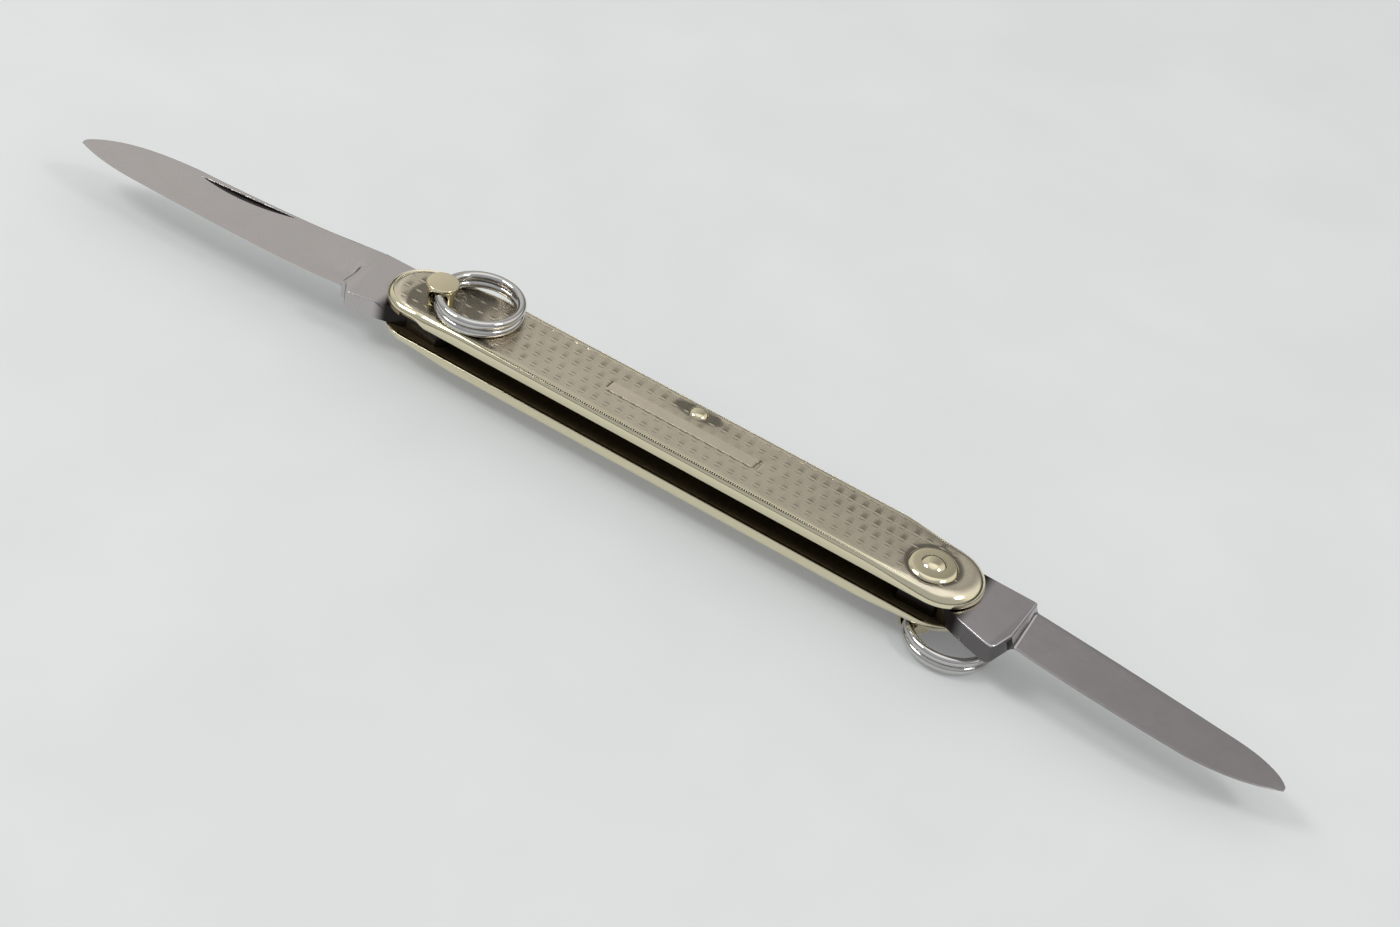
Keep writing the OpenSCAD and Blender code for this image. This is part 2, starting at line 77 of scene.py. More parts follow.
def add(tree, kind, settings=None, links=None):
    """Adds a node: settings go to its properties or input sockets, links feed its inputs."""
    node = tree.nodes.new(kind)
    for key, value in (settings or {}).items():
        if isinstance(key, int) or key in node.inputs:
            node.inputs[key].default_value = value
        else:
            setattr(node, key, value)
    for key, source in (links or {}).items():
        tree.links.new(source, node.inputs[key])
    return node


def ramp(tree, source, stops):
    """Colour ramp with (place, value or colour) stops."""
    node = add(tree, "ShaderNodeValToRGB", links={"Fac": source})
    bar = node.color_ramp
    while len(bar.elements) < len(stops):
        bar.elements.new(0.5)
    for e, (at, value) in zip(bar.elements, stops):
        e.position = at
        e.color = value if isinstance(value, tuple) else (value, value, value, 1)
    return node.outputs["Color"]


def noise(tree, per_mm, stretch=(1, 1, 1), detail=5, rough=0.6):
    """Noise in object coordinates, per_mm features a millimetre, stretched along the axes."""
    at = add(tree, "ShaderNodeTexCoord").outputs["Object"]
    size = [s * per_mm / MM for s in stretch]
    place = add(tree, "ShaderNodeMapping", {"Scale": size}, {"Vector": at})
    return add(tree, "ShaderNodeTexNoise", {"Scale": 1.0, "Detail": detail, "Roughness": rough},
               {"Vector": place.outputs[0]}).outputs["Fac"]


def mixed(tree, fac, a, b):
    """Mix of two colours, each a socket or a colour."""
    node = add(tree, "ShaderNodeMix", {"data_type": "RGBA"})
    for socket, value in ((node.inputs[0], fac), (node.inputs[6], a), (node.inputs[7], b)):
        if isinstance(value, (tuple, float, int)):
            socket.default_value = value
        else:
            tree.links.new(value, socket)
    return node.outputs[2]


def material(name, rough, metal=1.0):
    """New material with its shader; returns the material, its tree and the shader."""
    m = bpy.data.materials.new(name)
    m.use_nodes = True
    shader = m.node_tree.nodes["Principled BSDF"]
    shader.inputs["Metallic"].default_value = metal
    shader.inputs["Roughness"].default_value = rough
    return m, m.node_tree, shader


# Dark colours: the first for soiling in the covers' cuts and for painted shade in and beside the ring on them; the
# second for painted shade deep in the slot, on the master's tang end and in its nail nick, and for painted shade with
# an old oily film on the pen tang's sides
DIRT_AND_SHADE, SHADE_AND_OIL = "#211d18", "#1d1a17"
SPREAD = (0.3, 0.7)                   # the range that noise mostly fills


def worn_metal(name, colour, dark, rough, grain, depth, per_mm, stretch=(1, 1, 1), mark=0.35, held=None,
               rubbed=None, slot=None, shaded_and_oiled=None):
    """Metal with clouded tarnish and fine grain in gloss and bump. grain says how much the grain darkens the metal,
    depth how deep it is, and mark how dark clouds and spots are. The attribute held says where the metal is soiled
    and darkened by painted shade, the attribute of rubbed where it is polished to a second colour, oiled where
    painted shade and an old oily film darken it, and slot between which two places along the handle, in mm, the metal
    gets dark with painted shade deep in the slot."""
    m, t, s = material(name, rough)
    cloud = ramp(t, noise(t, 0.45), [(0.42, 0.0), (0.7, mark)])
    fine = noise(t, per_mm, stretch, detail=6, rough=0.7)
    spots = ramp(t, noise(t, 2.6, detail=3), [(0.66, 0.0), (0.74, mark)])
    base = mixed(t, cloud, lin(colour), lin(dark))
    base = mixed(t, spots, base, lin(dark))
    base = mixed(t, ramp(t, fine, [(SPREAD[0], grain), (SPREAD[1], 0.0)]), base, lin(dark))
    if rubbed:
        polish = add(t, "ShaderNodeAttribute", {"attribute_name": rubbed[0]}).outputs["Fac"]
        base = mixed(t, polish, base, lin(rubbed[1]))
    # darkening by soiling and by painted shade, from a point attribute
    if held:
        dirt_and_shade = add(t, "ShaderNodeAttribute", {"attribute_name": held}).outputs["Fac"]
        base = mixed(t, dirt_and_shade, base, lin(DIRT_AND_SHADE))
    # painted shade, with an old oily film on the pen tang's sides, from a face attribute
    if shaded_and_oiled:
        shade_and_oil = add(t, "ShaderNodeAttribute", {"attribute_name": shaded_and_oiled}).outputs["Fac"]
        base = mixed(t, shade_and_oil, base, lin(SHADE_AND_OIL))
    # painted shade deep in the slot: the metal darkens towards the inside of the handle
    if slot:
        at = add(t, "ShaderNodeTexCoord").outputs["Object"]
        x = add(t, "ShaderNodeSeparateXYZ", links={0: at}).outputs["X"]
        deep = add(t, "ShaderNodeMapRange", {"From Min": slot[0] * MM, "From Max": slot[1] * MM, "To Min": 0.0,
                                             "To Max": 0.97, "interpolation_type": "SMOOTHSTEP"}, {"Value": x})
        base = mixed(t, deep.outputs[0], base, lin(SHADE_AND_OIL))
    t.links.new(base, s.inputs["Base Color"])
    gloss = add(t, "ShaderNodeMapRange", {"From Min": SPREAD[0], "From Max": SPREAD[1], "To Min": rough * 0.8,
                                          "To Max": rough * 1.25}, {"Value": fine}).outputs[0]
    if rubbed:
        gloss = add(t, "ShaderNodeMix", {0: 0.0, 3: rubbed[2]}, {0: polish, 2: gloss}).outputs[0]
    t.links.new(gloss, s.inputs["Roughness"])
    bump = add(t, "ShaderNodeBump", {"Strength": 1.0, "Distance": depth * MM}, {"Height": fine})
    t.links.new(bump.outputs[0], s.inputs["Normal"])
    return m


# Pressed, engine-turned and worn: a soft champagne sheen, dark where soiling holds in the cuts and with painted shade
# in and beside the ring, bright on its rims
cover_gold = worn_metal("cover_champagne_gold", "#e2d8c4", "#b7aa95", 0.25, 0.12, 0.0008, 9, mark=0.22, held="cut",
                        rubbed=("rub", "#e6dec0", 0.12))
# Polished by handling: a clearer, slightly greener gold with small dull spots
pin_gold = worn_metal("polished_pin_gold", "#dfd5b7", "#b3a685", 0.1, 0.08, 0.0003, 7, mark=0.12)
# Nickel-plated wire: cold and bright, faint drawing lines
ring_nickel = worn_metal("polished_ring_nickel", "#d3d1ce", "#8f8b88", 0.07, 0.08, 0.0003, 7, mark=0.12)
# Ground and wiped steel, fine scratches along the blade, with painted shade deep inside the handle, on the master's
# tang end and in its nail nick, and painted shade with an old oily film on the pen tang's sides
master_steel = worn_metal("master_blade_steel", "#c1bcbb", "#aaa5a4", 0.24, 0.1, 0.0002, 8, (0.15, 1, 1), 0.12,
                          slot=(-28.7, -27.3), shaded_and_oiled="shade_and_oil")
pen_steel = worn_metal("pen_blade_steel", "#c0bbbe", "#a39ea2", 0.2, 0.1, 0.0002, 8, (0.15, 1, 1), 0.15,
                       slot=(34.9, 33.6), shaded_and_oiled="shade_and_oil")
# Oiled spring steel deep in the slot: nearly black
spring_steel = worn_metal("oiled_spring_steel", "#8a8175", "#4a443c", 0.42, 0.4, 0.002, 5)
# Old brass sheet, brown with age
liner_brass = worn_metal("aged_liner_brass", "#a59474", "#5f5340", 0.4, 0.4, 0.002, 5)


def dress(name, mat):
    """Gives a CAD node its material."""
    data = frame["nodes"][name].data
    data.materials.clear()
    data.materials.append(mat)
    data.polygons.foreach_set("material_index", [0] * len(data.polygons))


# Meshes

def make(name, verts, faces, mat, body, smooth):
    """A piece from points in mm, in the row frame."""
    data = bpy.data.meshes.new(name)
    data.from_pydata([tuple(v) for v in np.asarray(verts, float) * MM], [], faces)
    data.validate()
    finish_mesh(data, mat, smooth)
    piece = bpy.data.objects.new(name, data)
    bpy.context.scene.collection.objects.link(piece)
    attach(piece, body)
    return piece


def finish_mesh(data, mat, smooth):
    """Outward faces, smooth shading with sharp edges above smooth degrees, one material."""
    bm = bmesh.new()
    bm.from_mesh(data)
    bmesh.ops.recalc_face_normals(bm, faces=bm.faces)
    bm.to_mesh(data)
    bm.free()
    data.shade_smooth()
    data.set_sharp_from_angle(angle=math.radians(smooth))
    data.materials.clear()
    data.materials.append(mat)


TURNED_SMOOTH = 32                    # degrees


def lathe(name, profile, at, up, node, hole=None):
    """A turned gold piece: profile is (radius, height) points, up is 1 or -1, hole is (radius, height, turn)."""
    profile, n = np.array(profile, float), 96
    a = np.linspace(0, 2 * np.pi, n, endpoint=False)
    pts = np.stack([profile[:, :1] * np.cos(a), profile[:, :1] * np.sin(a), np.tile(profile[:, 1:] * up, n)], -1)
    m = len(profile)
    closed = m if profile[0, 0] > 0 else m - 1
    faces = [(i * n + k, i * n + (k + 1) % n, (i + 1) % m * n + (k + 1) % n, (i + 1) % m * n + k)
             for i in range(closed) for k in range(n)]
    piece = make(name, pts.reshape(-1, 3) + (*at, 0), faces, pin_gold, "handle", TURNED_SMOOTH)
    bm = bmesh.new()
    bm.from_mesh(piece.data)
    bmesh.ops.remove_doubles(bm, verts=bm.verts, dist=1e-7)
    bm.to_mesh(piece.data)
    bm.free()
    if hole:
        bm = bmesh.new()
        bmesh.ops.create_cone(bm, cap_ends=True, segments=n, radius1=hole[0] * MM, radius2=hole[0] * MM,
                              depth=6 * MM)
        bm.transform(Matrix.Translation(Vector((*at, hole[1] * up)) * MM)
                     @ Matrix.Rotation(math.radians(hole[2]), 4, "Z") @ Matrix.Rotation(math.radians(90), 4, "X"))
        carve(piece, bm)
    finish_mesh(piece.data, pin_gold, TURNED_SMOOTH)
    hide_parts(node)


def carve(piece, bm):
    """Cuts the solid in bm out of a piece."""
    data = bpy.data.meshes.new("cutter")
    bmesh.ops.recalc_face_normals(bm, faces=bm.faces)
    bm.to_mesh(data)
    bm.free()
    tool = bpy.data.objects.new("cutter", data)
    bpy.context.scene.collection.objects.link(tool)
    cut = piece.modifiers.new("cut", "BOOLEAN")
    cut.operation, cut.solver, cut.object = "DIFFERENCE", "EXACT", tool
    bpy.context.view_layer.update()
    done = bpy.data.meshes.new_from_object(piece.evaluated_get(bpy.context.evaluated_depsgraph_get()))
    piece.modifiers.clear()
    piece.data = done
    bpy.data.objects.remove(tool)


def arc(cx, cz, r, start, end, n):
    """n points of an arc in a profile, angles in degrees."""
    a = np.radians(np.linspace(start, end, n))
    return [(cx + r * math.cos(k), cz + r * math.sin(k)) for k in a]


WASHER_H, PEEN_H, BAIL_H = 0.36, 0.38, 2.1          # heights above the cover, the washer and the cover
PEEN_R, SHANK_R = 1.15, 0.9
BAIL_HOLE = (0.97, FACE_Z + 0.92)     # radius and height of the hole for the ring
RIVET_R, RIVET_H = 0.95, 0.35


def washer(name, x, up, node):
    """Domed washer with a soft edge."""
    profile = [(0.92, 0.0), (2.31, 0.0), (2.325, 0.04), (2.31, 0.08), (2.28, 0.115), (2.22, 0.165), (2.14, 0.228),
               (2.05, 0.285), (1.95, 0.322), (1.8, 0.34), (1.5, 0.35), (1.2, WASHER_H), (0.92, WASHER_H)]
    lathe(name, [(a, FACE_Z + z) for a, z in profile], (x, PIVOT_Y), up, node)


def pin(name, x, up, ring_turn, node):
    """Pivot pin: a pierced bail on one cover and a peened button end on the other's washer."""
    foot, top = -FACE_Z - WASHER_H, FACE_Z + BAIL_H
    profile = [(PEEN_R * r, foot - PEEN_H * (1 - r ** 3)) for r in (0, 0.3, 0.5, 0.65, 0.76, 0.85, 0.91, 0.96, 0.99)]
    profile += [(PEEN_R, foot + 0.01), (PEEN_R - 0.02, foot + 0.06), (SHANK_R, foot + 0.08), (SHANK_R, FACE_Z - 0.2)]
    # the bail widens upwards from the cover to its flat head
    profile += [(1.3, FACE_Z - 0.2), (1.3, FACE_Z + 0.02), (1.325, FACE_Z + 0.4), (1.38, FACE_Z + 0.9),
                (1.46, FACE_Z + 1.35), (1.53, FACE_Z + 1.62), (1.565, FACE_Z + 1.75)]
    profile += arc(1.45, top - 0.12, 0.12, 0, 90, 7) + [(0.0, top)]
    lathe(name, profile, (x, PIVOT_Y), up, node, (*BAIL_HOLE, ring_turn))


def rivet(name, node):
    """Spring rivet with a flattened dome at both ends."""
    head = [(r, FACE_Z + RIVET_H * (1 - (r / RIVET_R) ** 4)) for r in (0.95, 0.93, 0.9, 0.86, 0.8, 0.7, 0.55, 0.35)]
    half = [(0.5, FACE_Z - 0.01), (RIVET_R, FACE_Z - 0.01)] + head + [(0.0, FACE_Z + RIVET_H)]
    profile = [(r, -z) for r, z in reversed(half)] + half
    lathe(name, profile, (HANDLE_X + RIVET_X, RIVET_Y), 1, node)


# Covers: a flat, engine-turned face whose mesh rows follow the cut lines, then the rim, skirt and inside

WAVE_L, WAVE_A = 1.338, 0.085         # the turned pattern's wave along the handle and its rise
ROW_PITCH, ROW_0, LINES = 1.497, -2.5, 8            # height of a band, foot of the first one, lines in a band
BANDS = range(-1, 5)
CUT_D, CUT_W = 0.026, 0.045           # a cut line's depth and half width
FIRST = WAVE_A + CUT_W + 0.01         # from a band's border to its first line
FIELD_Y = 3.22                        # half width of the turned field
STEP = 0.122                          # columns along the handle
WAVE_SEED = 11                        # chance of dirt in each eye of the pattern

PANEL = (-8.0, 8.0, -0.66, 0.76)      # the reserved panel: left, right, foot, head
PANEL_CUT = 0.05                      # depth of the lines round it
# The line under the panel and the ticks at its ends: left, right, foot, head, half width, dirt
PANEL_LINES = ((PANEL[0] + 0.25, PANEL[1] - 0.25, PANEL[2], PANEL[2], 0.05, 1.0),
               (PANEL[0], PANEL[0], PANEL[2] + 0.35, PANEL[3], 0.062, 0.95),
               (PANEL[1] - 0.05, PANEL[1] - 0.05, PANEL[2] + 0.1, PANEL[3], 0.062, 1.0),
               (PANEL[1] + 0.27, PANEL[1] + 0.27, PANEL[2] + 0.1, PANEL[3], 0.062, 0.4))

ROLL_W, ROLL_FOOT = 1.5, 0.12         # width of the roll at the ends, and what it leaves above the skirt's foot
ROLL_END = (21.5, 28.5)               # where the tight rim starts and ends turning into the roll
RIM_ANGLES = (10, 19, 25, 35, 41, 50, 60, 70, 80, 90)
LIP_R = 0.07                          # rounding of the skirt's foot
# How dark the rows beyond the face are made: down the rim, round the foot and up inside; the beads stand in the first
# five
RIM_DARKNESS = (0.05, 0.4, 1.0, 1.0, 0.3, 0, 0, 0, 0, 0, 0.1, 0.3, 0.5, 0.6, 0.6, 0.6)
BEAD_ROWS = 5
BEAD_OUT, BEAD_R, BEAD_PITCH = 0.3, 0.085, 0.24     # beads: outside the face's outline, radius, pitch
BEAD_INWARD = 0.55                    # how far the row of beads moves inwards at the ends


def row_end(y, inset=RIM_R):
    """Half length of the cover's flat face at height y."""
    touch_y = END_Y + (END_R - inset) * math.cos(TAPER)
    if y <= touch_y:
        return END_X + math.sqrt(max((END_R - inset) ** 2 - (y - END_Y) ** 2, 0))
    touch_x = END_X + (END_R - inset) * math.sin(TAPER)
    return touch_x - (y - touch_y) / math.tan(TAPER)


def side_normal(x, y):
    """Outward direction in plan at a point of the face's outline."""
    if y <= -HALF_W + RIM_R + 1e-6 and abs(x) < END_X:
        return 0.0, -1.0
    s = 1 if x > 0 else -1
    dx, dy = s * (abs(x) - END_X), y - END_Y
    if dy > 0 and math.atan2(abs(x) - END_X, dy) < TAPER + 1e-4:
        if y > HALF_W - RIM_R - 1e-6:
            return 0.0, 1.0
        return s * math.sin(TAPER), math.cos(TAPER)
    d = math.hypot(dx, dy)
    return dx / d, dy / d


def face_rows():
    """Rows of the face: (height, wave sign, is it a cut, band, place across the band)."""
    edge = HALF_W - RIM_R
    plain = [0.0, 0.013, 0.05, 0.112, 0.2]           # rows of the smooth border, closing up towards the rim
    rows = [(-edge + p, 0, 0, 0, 0) for p in plain if -edge + p < -FIELD_Y]
    pitch = (ROW_PITCH - 2 * FIRST) / (LINES - 1)
    for k in BANDS:
        low, sign = ROW_0 + k * ROW_PITCH, 1 if k % 2 == 0 else -1
        for n in range(LINES):
            for off, cut in ((-CUT_W, 0), (0, 1), (CUT_W, 0)):
                y = low + FIRST + n * pitch + off
                if -FIELD_Y < y < FIELD_Y:
                    rows.append((y, sign, cut, k + 1, (y - low) / ROW_PITCH))
        if -FIELD_Y < low + ROW_PITCH < FIELD_Y:
            rows.append((low + ROW_PITCH, 0, -sign, k + 1, 1))
    rows += [(edge - p, 0, 0, 0, 0) for p in reversed(plain) if edge - p > FIELD_Y]
    return sorted(rows, key=lambda r: r[0])


def soft(a, b, x):
    """Smooth step from 0 at a to 1 at b."""
    t = np.clip((x - a) / (b - a), 0, 1)
    return t * t * (3 - 2 * t)


def drop(o, end, tall):
    """Fall of the cover's outer surface o mm outside its flat face: a tight rim, or at the ends a broad roll."""
    tight = RIM_R * (1 - np.sqrt(1 - np.clip(o / RIM_R, 0, 1) ** 2))
    broad = tall * (1 - np.sqrt(1 - np.clip((o + ROLL_W - RIM_R) / ROLL_W, 0, 1) ** 2))
    return tight + end * (broad - tight)


def end_part(x):
    """0 on the long sides, 1 at the rounded ends."""
    return soft(*ROLL_END, np.abs(x))


def beyond(x, y):
    """Distance outside the flat face's outline, negative inside it, near the rounded ends."""
    return np.hypot(np.maximum(np.abs(x) - END_X, 0), y - END_Y) - (END_R - RIM_R)


def near(dx, dy, start, reach):
    """1 within start mm, then a soft fall over reach mm."""
    return np.exp(-(np.maximum(np.hypot(dx, dy) - start, 0) / reach) ** 2)


def wear(x, y, side):
    """How deep the turned lines still are and how dark soiling and painted shade in and beside the ring make them, in
    the cover's own frame.
    """
    py = y - PIVOT_Y
    # inside the ring: patina, and painted shade under the ring and beside its bail
    in_ring = near(x + 23.2, (y - 0.6) * 0.8, 1.5, 4.2)
    by_bail = near(x + PIVOT_X, py + 0.3, 1.5, 2.0)
    by_washer = near(x + PIVOT_X - 2 * PIVOT_X, py, 2.35, 0.5)
    by_rivet = near((x - RIVET_X * side) * 0.42, (y - RIVET_Y), 0.75, 0.75)
    # painted shadow of the ring on the cover beside it
    ring_shadow = near(x + 17, 0 * y, 3, 7)
    right = soft(10, 19, x) * soft(-2.6, 1.0, y)
    top = soft(0.4, 2.6, y)
    brim = soft(-2.6, -3.2, y) * soft(-29, -27, x) * soft(-15, -21, x)
    depth = 0.4 + 0.5 * in_ring + 0.3 * top + 0.4 * right + 0.5 * by_rivet
    dirt_and_shade = (0.05 + 1.1 * by_bail + 1.05 * by_washer + 0.84 * by_rivet
            + 0.62 * in_ring + 0.42 * right + 0.14 * top + 0.12 * ring_shadow + 0.8 * brim)
    return np.clip(depth, 0, 1), np.clip(dirt_and_shade, 0, 1)


def rubbed_rim(x, y):
    """Where the beads are rubbed away: the low side by the bail."""
    return soft(-19, -23, x) * soft(1.0, -1.5, y)


def outline(o):
    """Closed outline of the face, o mm outside it, anticlockwise, in the cover's own frame."""
    r = END_R - RIM_R + o
    a = np.linspace(-90, 90 - math.degrees(TAPER), 40)
    right = np.stack([END_X + r * np.cos(np.radians(a)), END_Y + r * np.sin(np.radians(a))], -1)
    top = HALF_W - RIM_R + o
    corner = END_X + r * math.sin(TAPER) - (top - END_Y - r * math.cos(TAPER)) / math.tan(TAPER)
    right = np.concatenate([right, [(corner, top)]])
    return np.concatenate([right, right[::-1] * (-1, 1)])


def turned_face(side):
    """Grid of a cover's face in its own frame: place along the face before the ends' shift, points, darkening from
    the cut lines, soiling and painted shade, polish.
    """
    rows = face_rows()
    base_y, sign, cut, band, across = (np.array([r[i] for r in rows], float)[:, None] for i in range(5))
    ends = np.array([row_end(y) for y in base_y[:, 0]])[:, None]
    U = ends * np.linspace(-1, 1, int(2 * row_end(0) / STEP) + 1)[None, :]
    X = U + side * END_SHIFT
    to_end = ends - np.abs(U)
    turn = np.cos(2 * np.pi * X / WAVE_L)
    Y = base_y + WAVE_A * sign * turn * soft(0, 0.5, to_end)
    depth, dirt_and_shade = wear(X, Y, side)

    # the field ends at the panel, at the border and, worn away, beyond the washer
    plain = ((X > PANEL[0]) & (X < PANEL[1]) & (Y > PANEL[2]) & (Y < PANEL[3]))
    worn_end = soft(25.5, 28.5, X) * soft(2.5, 3.1, np.hypot(X - PIVOT_X, Y - PIVOT_Y))
    field = soft(0.2, 0.5, to_end - 0.35 * (U < 0)) * (1 - worn_end) * ~plain

    # lines, the small clean eyes where neighbouring waves part, and soiling with painted shade, heaviest where lines
    # bulge up
    line = np.where(cut == 1, 1.0, 0.25) * (sign != 0) * field
    eye = (sign == 0) * (cut != 0) * soft(-0.1, 0.7, cut * turn) * field
    bulge = sign * turn
    chance = np.random.default_rng(WAVE_SEED).uniform(0.2, 1.0, (8, 60))
    lot = chance[band.astype(int), (np.round(2 * X / WAVE_L) // 2).astype(int) % 60]
    patch = soft(-0.2, 0.8, bulge) * soft(0.0, 0.1, across) * (1 - soft(0.25, 0.7, across)) * lot
    edge = line * (soft(-0.2, 0.7, bulge) * (across < 0.14) + soft(-0.2, 0.7, -bulge) * (across > 0.86))
    ink = dirt_and_shade * (line * (0.35 + 0.8 * patch + 1.0 * edge) + field * (0.06 + 0.2 * patch))
    ink = ink + line * 0.2 + edge * 0.55 + line * patch * 0.25
    black = field * soft(0.7, 1.0, dirt_and_shade)
    ink = np.clip(np.maximum(ink, black * (0.5 + 0.5 * line)), 0, 1) * (1 - eye)

    # the ends roll over from inside the outline, with a dark seam where the roll begins
    end = end_part(U)
    out_by = np.where(np.abs(Y - END_Y) > HALF_W, -9, beyond(U, Y))
    Z = FACE_Z - CUT_D * depth * line - drop(np.minimum(out_by, 0), end, FACE_Z - SKIRT_Z - ROLL_FOOT)
    seam = np.exp(-((out_by + 0.25) / 0.09) ** 2) * end * (1 - 0.9 * rubbed_rim(X, Y))
    ink = np.maximum(ink, 0.5 * (seam * (1 - 0.95 * soft(12, 26, X))))

    # mesh rows and columns next to a line of the panel move onto it
    for x0, x1, y0, y1, w, power in PANEL_LINES:
        by_line = (X > x0 - w) & (X < x1 + w) & (Y > y0 - w) & (Y < y1 + w)
        if x1 > x0:
            Y = np.where(by_line, y0, Y)
        else:
            X = np.where(by_line, x0, X)
        Z = np.where(by_line, FACE_Z - PANEL_CUT, Z)
        ink = np.where(by_line, power, ink)
    return U, np.stack([X, Y, Z], -1), ink, 0.6 * (1 - soft(0, 0.25, to_end))


def rim_rows(low, at_end):
    """Rows beyond the face: (mm outside its outline, heights), where low is the height of the skirt's foot."""
    rows = [(RIM_R * math.sin(a), FACE_Z - drop(RIM_R * math.sin(a), at_end, FACE_Z - low - ROLL_FOOT))
            for a in np.radians(RIM_ANGLES)]
    inside = RIM_R - SKIRT_W
    return rows + [(RIM_R, low + LIP_R), (RIM_R - 0.3 * LIP_R, low + 0.3 * LIP_R), (RIM_R - LIP_R, low),
                   (inside + LIP_R, low), (inside, low + LIP_R), (inside, np.full(len(low), FACE_Z - COVER_T))]


def cover(name, side, node):
    """A cover. side 1 is the front one; -1 is the same turned half a turn about the handle's width."""
    U, grid, ink, polish = turned_face(side)
    shift = side * END_SHIFT
    n, m = U.shape
    verts, inks = [grid.reshape(-1, 3)], [ink.reshape(-1)]
    faces = [(a, a + 1, a + m + 1, a + m) for j in range(n - 1) for a in range(j * m, j * m + m - 1)]

    # the face's outline, anticlockwise from the low left corner
    loop = [(0, i) for i in range(m)] + [(j, m - 1) for j in range(1, n)]
    loop += [(n - 1, i) for i in range(m - 2, -1, -1)] + [(j, 0) for j in range(n - 2, 0, -1)]
    at = np.array([(U[j, i], grid[j, i, 1]) for j, i in loop])
    out = np.array([side_normal(*p) for p in at])
    short = soft(*RELIEF, -(at[:, 0] + out[:, 0] * RIM_R))
    low = SKIRT_Z + (LIP_Z - SKIRT_Z) * short * (side > 0)
    at_end = end_part(at[:, 0])
    x = at[:, 0] + shift
    by_beads = (1 - 0.75 * soft(12, 24, x)) * (1 - np.maximum(rubbed_rim(x, at[:, 1]), at_end))

    last, start = np.array([j * m + i for j, i in loop]), n * m
    for k, ((o, height), darkness) in enumerate(zip(rim_rows(low, at_end), RIM_DARKNESS)):
        verts.append(np.column_stack([at[:, 0] + out[:, 0] * o + shift, at[:, 1] + out[:, 1] * o, height]))
        inks.append(darkness * by_beads if k < BEAD_ROWS else np.full(len(loop), darkness))
        now = np.arange(start, start + len(loop))
        start += len(loop)
        faces += zip(last, np.roll(last, -1), np.roll(now, -1), now)
        last = now

    # the underside: strips between the two long sides and one face at each end
    far_left = 2 * m + n - 3
    faces += [(last[i], last[i + 1], last[far_left - i - 1], last[far_left - i]) for i in range(m - 1)]
    faces.append(last[m - 1:m + n - 1])
    faces.append([last[0], *last[:-(n - 1):-1], last[far_left]])

    def turned(points):
        """From the cover's own frame to the row frame."""
        return points * (side, 1, side) + (HANDLE_X, 0, 0)

    piece = make(name, turned(np.concatenate(verts)), [tuple(int(k) for k in f) for f in faces], cover_gold,
                 "handle", 50)
    inks = np.concatenate(inks)
    rub = np.concatenate([polish.reshape(-1), np.ones(len(inks) - n * m)])
    for key, values in (("cut", inks), ("rub", rub)):
        piece.data.attributes.new(key, "FLOAT", "POINT").data.foreach_set("value", values.astype(np.float32))
    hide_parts(node)
    beads(name + "_beads", turned(bead_path(shift)), BEAD_PITCH, BEAD_R)


def bead_path(shift):
    """Middle line of a cover's row of beads, in the cover's own frame. It moves inwards at the ends, and lies deeper
    where the beads are worn."""
    corners = outline(BEAD_OUT)
    path = np.concatenate([np.linspace(a, b, max(2, int(np.hypot(*(b - a)) / 0.8)), endpoint=False)
                           for a, b in zip(corners, np.roll(corners, -1, axis=0))])
    end = end_part(path[:, 0])
    path = path - np.array([side_normal(*q) for q in path]) * (BEAD_INWARD * end)[:, None]
    top = FACE_Z - drop(BEAD_OUT - BEAD_INWARD * end, end, FACE_Z - SKIRT_Z - ROLL_FOOT)
    path = path + (shift, 0)
    x, y = path.T
    sunk = 0.01 + 0.05 * soft(14, 24, x) + 0.06 * soft(24, 28, x) + 0.09 * rubbed_rim(x, y)
    return np.column_stack([path, top - sunk])


